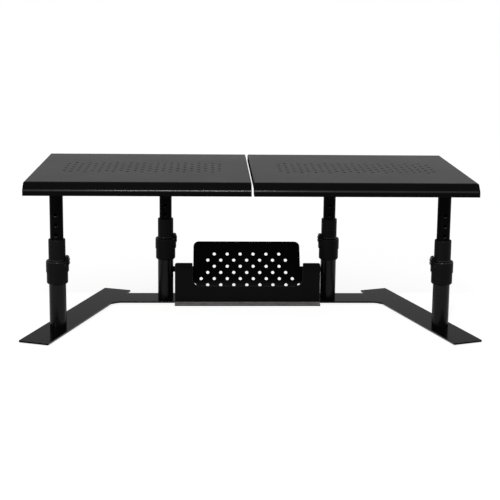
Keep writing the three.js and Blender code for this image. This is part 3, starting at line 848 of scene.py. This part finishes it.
for leg, hand in legs:
    name = f"{leg}_{hand}"
    axis = middle_of(f"{name}_inner_tube")
    collar = turned(collar_section(name), axis)
    bar = forward_bars(axis, [lock_height], pin_hole_radius, seat_radius + tube_wall)
    collar = combined(collar, bar, "DIFFERENCE")
    marked(collar, "edge", rubbed_round)
    made = piece(collar, f"{name}_moulded_collar", f"{hand}_base", [f"{name}_collar"],
                 "black_plastic")
print("collar faces:", len(made.data.polygons))

# %% [markdown]
# The ring turns on the collar's seat, and its cam pushes the pin in. It has a wall and a roof
# with a bore for the sleeve, so it is spun from its section as the tubes are.

# %% Ring body
ring_radius = 19 * mm
ring_round = 3 * mm
ring_play = 0.4 * mm
ring_steps = 64


def ring_body(bottom):
    """The ring without its tab and pad, round the upright axis at the origin."""
    bore = seat_radius + ring_play
    roof_bore = sleeve_radius + ring_play
    roof = ring_top - seat_drop + slide_gap
    return turned([(bore, bottom), (ring_radius, bottom, collar_round),
                   (ring_radius, ring_top, ring_round), (roof_bore, ring_top, collar_round),
                   (roof_bore, roof), (bore, roof)], steps=ring_steps)


print("ring width:", 2 * ring_radius / mm, "mm")

# %% [markdown]
# A ridged tab on the leg's inner side is the place for the thumb. It is drawn from its side
# view with three ridges, the last of which leans inwards, and its inner side is cut round, so
# that it lies close to the sleeve.

# %% Thumb tab
tab_width = 12 * mm
tab_bottom = 110.8 * mm
tab_reach = 20.2 * mm
tab_inner = 15.2 * mm
ridge_pitch = 5.5 * mm
ridge_rise = 1.5 * mm
ridge_round = 1.3 * mm
ridge_lean = math.radians(35)
ridges = 3
tab_round = 0.5 * mm


def tab_body():
    """The ridged tab, drawn as its side view with the reach along X."""
    root = (seat_radius + ring_radius) / 2
    outline = [(Vector((root, 0, tab_bottom - tab_reach + ring_radius)), 0)]
    valley = Vector((tab_reach, 0, tab_bottom))
    for ridge in range(ridges):
        lean = ridge_lean if ridge == ridges - 1 else 0
        step = Vector((-math.sin(lean), 0, math.cos(lean))) * ridge_pitch
        out = Vector((math.cos(lean), 0, math.sin(lean))) * ridge_rise
        outline += [(valley, ridge_round / 4), (valley + step / 2 + out, ridge_round)]
        valley = valley + step
    lid = ring_top - seat_drop / 2
    depth = sleeve_radius - tab_round * 3
    outline += [(valley, ridge_round / 4),
                (Vector((tab_inner, 0, valley.z + ridge_rise / 2)), ridge_rise),
                (Vector((depth, 0, valley.z - ridge_rise)), 0),
                (Vector((depth, 0, lid)), 0), (Vector((root, 0, lid)), 0)]
    bm = drawn(outline, (0, 1, 0), tab_width)
    bmesh.ops.translate(bm, verts=bm.verts, vec=(0, -tab_width / 2, 0))
    softened(bm, tab_round, least_angle=50)
    room = hole_tools([(0, 0)], lid - ring_play, valley.z + ridge_pitch, tab_inner,
                      sides=spin_steps)
    return combined(bm, room, "DIFFERENCE")


print("tab width:", tab_width / mm, "mm with", ridges, "ridges")

# %% [markdown]
# An oval pad is raised a little from the ring, under the tab. It is the common part of an oval
# bar that lies across the ring and a shell that is slightly larger than the ring.

# %% Oval pad
pad_rise = 0.7 * mm
pad_half_width = 13.5 * mm
pad_half_height = 9 * mm


def pad_body(bottom):
    """An oval that follows the ring's round and stands a little outside it."""
    bm = bmesh.new()
    bmesh.ops.create_circle(bm, cap_ends=True, radius=1, segments=ring_steps)
    bmesh.ops.scale(bm, verts=bm.verts, vec=(pad_half_height, pad_half_width, 1))
    outer = ring_radius + pad_rise
    grown_by(bm, bmesh.ops.extrude_face_region(bm, geom=bm.faces[:]), (0, 0, outer))
    stand_up = (Matrix.Translation((0, 0, (bottom + ring_top) / 2))
                @ Matrix.Rotation(math.pi / 2, 4, "Y"))
    bmesh.ops.transform(bm, matrix=stand_up, verts=bm.verts)
    bore = seat_radius + ring_play
    shell = turned([(bore, bottom), (outer, bottom, pad_rise), (outer, ring_top, ring_round),
                    (bore, ring_top)], steps=ring_steps)
    return combined(bm, shell, "INTERSECT")


print("pad:", 2 * pad_half_width / mm, "by", 2 * pad_half_height / mm, "mm")

# %% [markdown]
# Tab and pad are solids of their own and are joined to the ring, so that no face is left inside.
# The rings of the right-hand legs are mirrored, because the tabs face the middle of the stand.

# %% Locking rings
for leg, hand in legs:
    name = f"{leg}_{hand}"
    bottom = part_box(f"{name}_lock_ring")[0].z
    ring = combined(ring_body(bottom), pad_body(bottom), "UNION")
    ring = combined(ring, tab_body(), "UNION")
    if hand == "right":
        bmesh.ops.scale(ring, verts=ring.verts, vec=(-1, 1, 1))
        bmesh.ops.reverse_faces(ring, faces=ring.faces)
    place = middle_of(f"{name}_inner_tube") * Vector((1, 1, 0))
    bmesh.ops.translate(ring, verts=ring.verts, vec=place)
    ring.normal_update()
    marked(ring, "edge", rubbed_round)
    made = piece(ring, f"{name}_thumb_ring", f"{name}_ring", [f"{name}_lock_ring"],
                 "black_plastic")
print("ring faces:", len(made.data.polygons))

# %% [markdown]
# Inside a leg are a glide and a locking pin. The glide closes the inner tube's lower end and
# keeps it from rattling. The pin has a domed head that the ring's cam pushes, and a chamfered
# tip that finds the hole. They are small turned parts, so they are spun too.

# %% Glides and pins
glide_cap = 1.7 * mm
glide_round = 0.6 * mm
pin_radius = 2.4 * mm
tip_chamfer = 1 * mm
pin_dome = 0.9

for leg, hand in legs:
    name = f"{leg}_{hand}"
    axis = middle_of(f"{name}_inner_tube")
    low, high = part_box(f"{name}_glide")
    outer = radius_of(f"{name}_glide")
    bore = radius_of(f"{name}_inner_tube") + tube_fit
    inside = low.z + glide_cap
    glide = turned([(0, low.z), (outer, low.z, glide_round), (outer, high.z, glide_round),
                    (bore, high.z), (bore, inside), (0, inside)], axis, loop=False)
    piece(glide, f"{name}_tube_glide", f"{hand}_top", [f"{name}_glide"], "black_plastic")
    low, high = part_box(f"{name}_lock_pin")
    length = high.y - low.y
    pin = turned([(0, 0), (pin_radius - tip_chamfer, 0), (pin_radius, tip_chamfer),
                  (pin_radius, length, pin_radius * pin_dome), (0, length)],
                 loop=False, steps=small_steps)
    bmesh.ops.transform(pin, matrix=lying(axis.x, high.y, lock_height), verts=pin.verts)
    piece(pin, f"{name}_steel_pin", f"{name}_pin", [f"{name}_lock_pin"], "zinc_steel")
print("glides and pins:", len(legs), "each, a pin is", round(length / mm, 1), "mm long")

# %% [markdown]
# Three studs hold the flange of each inner tube. They are welded to the sheet from below. The
# thread is made as rings instead of a helix, because no one can tell them apart at this size.

# %% Studs
stud_circle = 22 * mm
stud_count = 3
stud_radius = 2.4 * mm
stud_length = 9 * mm
thread_pitch = 0.8 * mm
thread_depth = 0.35 * mm


def stud_places(axis):
    """The middles of the studs round a leg, the first of them behind it."""
    for corner in range(stud_count):
        bearing = math.pi / 2 + corner * 2 * math.pi / stud_count
        yield axis.x + stud_circle * math.cos(bearing), axis.y + stud_circle * math.sin(bearing)


def stud_section(top):
    """Half a stud, with a zigzag for the thread."""
    bottom = top - stud_length
    turns = int((stud_length - thread_pitch) / thread_pitch)
    points = [(0, bottom), (stud_radius - thread_depth, bottom)]
    for turn in range(turns):
        height = bottom + (turn + 0.5) * thread_pitch
        points += [(stud_radius, height), (stud_radius - thread_depth, height + thread_pitch / 2)]
    return points + [(stud_radius - thread_depth, top), (0, top)]


print("stud thread:", int((stud_length - thread_pitch) / thread_pitch), "turns")

# %% [markdown]
# A nut is cut from a hexagonal bar and turned to a cone at both ends, so it is the common part
# of a six-sided bar and a turned barrel, with a bore for the stud.

# %% Nuts
nut_sides = 6
nut_cone = 0.9
nut_slope = 0.6


def nut_body(bottom, top, radius):
    """One nut round the upright axis at the origin."""
    bar = bmesh.new()
    spot = Matrix.Translation((0, 0, (top + bottom) / 2))
    bmesh.ops.create_cone(bar, cap_ends=True, segments=nut_sides, radius1=radius,
                          radius2=radius, depth=top - bottom, matrix=spot)
    cone = radius * nut_cone
    slope = (radius - cone) * nut_slope
    barrel = turned([(0, bottom), (cone, bottom), (radius, bottom + slope), (radius, top - slope),
                     (cone, top), (0, top)], loop=False)
    nut = combined(bar, barrel, "INTERSECT")
    bore = hole_tools([(0, 0)], bottom - sheet, top + sheet, stud_radius + tube_fit)
    return combined(nut, bore, "DIFFERENCE")


def shifted(bm, x, y):
    """The shape, moved level."""
    bmesh.ops.translate(bm, verts=bm.verts, vec=(x, y, 0))
    return bm


print("nut bore:", round(2 * (stud_radius + tube_fit) / mm, 2), "mm")

# %% [markdown]
# Under each platform a round flange closes the inner tube and spreads the load. It has a hole
# for each stud, a little wider than the stud. All the studs of a platform are one piece, as
# they are welded to one sheet.

# %% Flanges, studs and nuts in place
flange_round = 0.5 * mm
stud_hole_radius = 2.9 * mm

for hand in ("left", "right"):
    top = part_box(f"{hand}_platform")[1].z - sheet - tube_fit
    studs = bmesh.new()
    for leg in ("front", "rear"):
        name = f"{leg}_{hand}"
        axis = middle_of(f"{name}_inner_tube")
        places = list(stud_places(axis))
        low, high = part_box(f"{name}_flange")
        radius = radius_of(f"{name}_flange")
        flange = disc(low.z, high.z, radius, flange_round, axis)
        holes = hole_tools(places, low.z - sheet, high.z + sheet, stud_hole_radius)
        flange = combined(flange, holes, "DIFFERENCE")
        piece(flange, f"{name}_round_flange", f"{hand}_top", [f"{name}_flange"], "black_coat")
        for number, (x, y) in enumerate(places, 1):
            node = f"{name}_nut_{number}"
            low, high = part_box(node)
            nut = shifted(nut_body(low.z, high.z, (high.x - low.x) / 2), x, y)
            piece(nut, f"{name}_hex_nut_{number}", f"{hand}_top", [node], "zinc_steel")
            stud = turned(stud_section(top), loop=False, steps=small_steps)
            added(studs, shifted(stud, x, y))
    made = piece(studs, f"{hand}_platform_studs", f"{hand}_top", [f"{hand}_platform"],
                 "zinc_steel")
    print(made.name, len(made.data.polygons), "faces")

# %% [markdown]
# A base is cut from 3 mm plate: an arm that runs slantwise from front to back, and a strip that
# carries the rear leg and slides in the holder. Both are flat outlines drawn out to the plate's
# thickness, with their edges broken. The long edges are marked, because they carry a line of
# light.

# %% Plates from outlines
plate_edge = 0.45 * mm
upright_limit = 0.3
sideways_limit = 0.7


def plate_of(outline, node, side):
    """A plate with broken edges, mirrored for the left-hand side."""
    low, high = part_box(node)
    bm = drawn([(Vector((point.x * side, point.y, low.z)), reach) for point, reach in outline],
               (0, 0, 1), high.z - low.z)
    softened(bm, plate_edge)
    bm.normal_update()
    marked(bm, "edge", lambda spot, normal: abs(normal.z) < upright_limit
           and abs(normal.x) > sideways_limit)
    return bm


print("plate edges broken by", plate_edge / mm, "mm")

# %% [markdown]
# Round rubber pads under the plates keep the stand from sliding and the desk from scratches.
# They are flat discs, so a turned shape does.

# %% Rubber pads
pad_round = 0.5 * mm
pad_places = ("arm_front", "front_leg", "arm_rear", "rear_leg")


def rubber_pads(hand):
    """The pads under one base."""
    for place in pad_places:
        node = f"{hand}_{place}_pad"
        low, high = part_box(node)
        pad = disc(low.z, high.z, radius_of(node), pad_round, middle_of(node))
        piece(pad, f"{hand}_{place}_foot", f"{hand}_base", [node], "pad_rubber")


print("pads under a base:", len(pad_places))

# %% [markdown]
# The arm is set off from the front leg's foot, along its own slant. The strip meets it with a
# rounded inner corner, and a hair's breadth is left for the weld.

# %% Bases
arm_angle = math.radians(18.6)
arm_width = 54 * mm
arm_front = 100 * mm
arm_rear = 248 * mm
arm_offset = 4 * mm
arm_corner = 2.4 * mm
strip_fillet = 9 * mm
weld_gap = 0.3 * mm
arm_along = Vector((-math.sin(arm_angle), math.cos(arm_angle), 0))
arm_across = Vector((math.cos(arm_angle), math.sin(arm_angle), 0))

for hand, side in (("left", -1), ("right", 1)):
    leg_foot = middle_of(f"front_{hand}_lower_tube")
    leg_foot = Vector((abs(leg_foot.x), leg_foot.y, 0)) - arm_across * arm_offset
    half = arm_width / 2
    corners = [(-arm_front, -half), (-arm_front, half), (arm_rear, half), (arm_rear, -half)]
    outline = [(leg_foot + arm_along * along + arm_across * across, arm_corner)
               for along, across in corners]
    arm = plate_of(outline, f"{hand}_base_arm", side)
    piece(arm, f"{hand}_slanted_arm", f"{hand}_base", [f"{hand}_base_arm"], "black_coat")

    low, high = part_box(f"{hand}_base_strip")
    inner = min(abs(low.x), abs(high.x))
    front = low.y + strip_fillet
    corner = outline[0][0]

    def edge_x(depth):
        """How far out the arm's inner edge is at a depth."""
        slant = (depth - corner.y) * math.tan(arm_angle)
        return corner.x - slant - weld_gap / math.cos(arm_angle)

    fillet_end = front - strip_fillet
    strip = plate_of([
        (Vector((inner, front, 0)), 0),
        (Vector((edge_x(front) - strip_fillet, front, 0)), strip_fillet / 2),
        (Vector((edge_x(fillet_end), fillet_end, 0)), 0),
        (Vector((edge_x(high.y), high.y, 0)), 0), (Vector((inner, high.y, 0)), 0),
    ], f"{hand}_base_strip", side)
    piece(strip, f"{hand}_cross_strip", f"{hand}_base", [f"{hand}_base_strip"], "black_coat")
    rubber_pads(hand)
    print(f"{hand} arm:", round((arm_front + arm_rear) / mm), "by", round(arm_width / mm), "mm")

# %% [markdown]
# The holder is folded from 1.2 mm sheet. Seen from the side it is a line of folds, so the line
# is drawn out sideways and given its thickness. Its heights and depths come from the boxes of
# the tray, the back and the strips that slide between them.

# %% Folded sheets and the holder's measures
holder_sheet = 1.2 * mm
holder_bend = 1.8 * mm
foot_reach = 14 * mm
hem_gap = 0.9 * mm
past = 1 * mm


def folded(section, reach):
    """Draw a line of folds, given as (y, z, bend), out to both sides and make it a sheet."""
    bm = chain(bmesh.new(), [((-reach, y, z), rest[0] if rest else 0)
                             for y, z, *rest in section])
    grown_by(bm, bmesh.ops.extrude_edge_only(bm, edges=bm.edges[:]), (2 * reach, 0, 0))
    return through(bm, "SOLIDIFY", thickness=holder_sheet, offset=0, use_even_offset=True)


strip_low, strip_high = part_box("left_base_strip")
tray_low, tray_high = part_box("holder_tray")
back_low, back_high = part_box("holder_back")
half_width = (tray_high.x - tray_low.x) / 2
tray_bottom = tray_low.z + holder_sheet / 2
tray_upper = tray_bottom + holder_sheet + hem_gap
foot_y = tray_low.y + holder_sheet / 2
wall_y = foot_y + foot_reach + holder_sheet / 2
seam_wall_y = strip_high.y + slide_gap + holder_sheet / 2
seam_end = tray_high.y
back_foot_z = back_low.z + holder_sheet / 2
seam_z = back_foot_z - holder_sheet - tube_fit
print("holder width:", round(2 * half_width / mm, 1), "mm")

# %% [markdown]
# The tray is the front wall, a hemmed foot and the seam behind the strips. Its front view has
# two wings and a scoop, and what lies outside that view is cut away. The top of the foot is
# marked, and the holder's finish paints it lighter there: a painted highlight.

# %% Holder tray
hem_bend = 1 * mm
wing_width = 32.5 * mm
wing_corner = 4 * mm
scoop_height = 34.5 * mm
scoop_corner = 14 * mm
rivet_hole_radius = 2.15 * mm
sheet_edge = 0.25 * mm
rivets = [middle_of(f"holder_rivet_{number}") for number in range(1, 5)]

tray = folded([
    (wall_y, tray_high.z + past), (wall_y, tray_upper, holder_bend),
    (foot_y, tray_upper, hem_bend), (foot_y, tray_bottom, hem_bend),
    (seam_wall_y, tray_bottom, hem_bend), (seam_wall_y, seam_z, hem_bend), (seam_end, seam_z),
], half_width + past)
scoop = half_width - wing_width
front_view = [
    (-half_width, -past, 0), (half_width, -past, 0), (half_width, tray_high.z, wing_corner),
    (scoop, tray_high.z, holder_bend), (scoop, scoop_height, scoop_corner),
    (-scoop, scoop_height, scoop_corner), (-scoop, tray_high.z, holder_bend),
    (-half_width, tray_high.z, wing_corner),
]
cutter = drawn([(Vector((x, tray_low.y - past, z)), reach) for x, z, reach in front_view],
               (0, 1, 0), tray_high.y - tray_low.y + 2 * past)
tray = combined(tray, cutter, "INTERSECT")
rivet_spots = [(spot.x, spot.y) for spot in rivets]
holes = hole_tools(rivet_spots, seam_z - 2 * past, seam_z + 2 * past, rivet_hole_radius)
tray = softened(combined(tray, holes, "DIFFERENCE"), sheet_edge)
tray.normal_update()
front_face = wall_y - holder_sheet / 2
# The foot's top gets the holder finish's lighter colour, a painted highlight.
marked(tray, "edge", lambda spot, normal: spot.y < front_face and normal.z > facing)
made = piece(tray, "folded_tray", "holder", ["holder_tray"], "holder_coat")
print("tray faces:", len(made.data.polygons))

# %% [markdown]
# The back leans away from the front wall, so that a phone stands in the pocket at a good slant.
# It is folded like the tray, and its fold is given the reach that makes the bend's radius the
# same as the tray's.

# %% Holder back's fold
pocket_depth = 22 * mm
back_lean = math.radians(33.3)
back_length = 112.4 * mm
back_fold = strip_low.y + strip_fillet + pocket_depth
ear_half = (back_high.x - back_low.x) / 2
top_y = back_fold + back_length * math.sin(back_lean)
top_z = back_foot_z + back_length * math.cos(back_lean)
fold_reach = holder_bend * math.tan((math.pi / 2 + back_lean) / 2)
back = folded([(back_high.y + past, back_foot_z), (back_fold, back_foot_z, fold_reach),
               (top_y + past * math.sin(back_lean), top_z + past * math.cos(back_lean))],
              ear_half + past)
print("back leans by", round(math.degrees(back_lean), 1), "degrees")

# %% [markdown]
# The outline is drawn flat, with Y up the slope, and then turned to lean. The two ears reach
# out behind the rear legs.

# %% Holder back's outline
back_side_gap = 0.5 * mm
back_corner = 10 * mm
ear_corner = 1.2 * mm
ear_bottom = 51.2 * mm
ear_top = 62.3 * mm
lean_matrix = (Matrix.Translation((0, back_fold, back_foot_z))
               @ Matrix.Rotation(math.pi / 2 - back_lean, 4, "X"))
body = half_width - wing_width - back_side_gap
right_side = [
    (half_width, -2 * holder_bend, 0), (half_width, ear_bottom, 0),
    (ear_half, ear_bottom, ear_corner), (ear_half, ear_top, ear_corner), (body, ear_top, 0),
    (body, back_length, back_corner),
]
back_outline = right_side + [(-x, y, reach) for x, y, reach in reversed(right_side)]
reach_back = seam_end - back_fold + past
cutter = drawn([(Vector((x, y, -reach_back)), reach) for x, y, reach in back_outline],
               (0, 0, 1), reach_back + 2 * holder_bend)
bmesh.ops.transform(cutter, matrix=lean_matrix, verts=cutter.verts)
back = combined(back, cutter, "INTERSECT")
print("ears reach", round((ear_half - half_width) / mm, 1), "mm past the tray")

# %% [markdown]
# The holes of the back are wider than those of the platforms, and they stand in rows of six to
# nine. The bars that cut them are turned to lean as the outline was. Four more holes are for
# the rivets.

# %% Holder back's holes
back_hole_pitch = 12.3 * mm
back_hole_radius = 3 * mm
back_hole_sides = 32
back_first_row = 86.8 * mm
back_rows = (6, 7, 6, 7, 8, 9)
spots = [((2 * i - count + 1) * back_hole_pitch, back_first_row - row * back_hole_pitch)
         for row, count in enumerate(back_rows) for i in range(count)]
holes = hole_tools(spots, -2 * holder_sheet, 2 * holder_sheet, back_hole_radius,
                   sides=back_hole_sides)
bmesh.ops.transform(holes, matrix=lean_matrix, verts=holes.verts)
back = combined(back, holes, "DIFFERENCE")
holes = hole_tools(rivet_spots, back_foot_z - past, back_foot_z + past, rivet_hole_radius)
back = softened(combined(back, holes, "DIFFERENCE"), sheet_edge)
made = piece(back, "leaning_back", "holder", ["holder_back"], "holder_coat")
print("back faces:", len(made.data.polygons), "holes:", len(spots))

# %% [markdown]
# Four rivets join the tray and the back behind the strips. A rivet has a domed head above and
# an upset tail below, and it is painted with the sheets.

# %% Rivets
head_radius = 3.6 * mm
rivet_radius = 2 * mm
tail_radius = 3 * mm
tail_height = 1.2 * mm
head_height = 1.6 * mm
head_dome = 0.8
rivet_steps = 32

for number, spot in enumerate(rivets, 1):
    low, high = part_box(f"holder_rivet_{number}")
    head_bottom = high.z - head_height
    tail_top = low.z + tail_height
    rivet = turned([
        (0, low.z), (tail_radius, low.z, tail_height / 2), (tail_radius, tail_top),
        (rivet_radius, tail_top), (rivet_radius, head_bottom), (head_radius, head_bottom),
        (head_radius, high.z, head_height * head_dome), (0, high.z),
    ], spot, loop=False, steps=rivet_steps)
    piece(rivet, f"round_rivet_{number}", "holder", [f"holder_rivet_{number}"], "holder_coat")
print("rivets:", len(rivets))
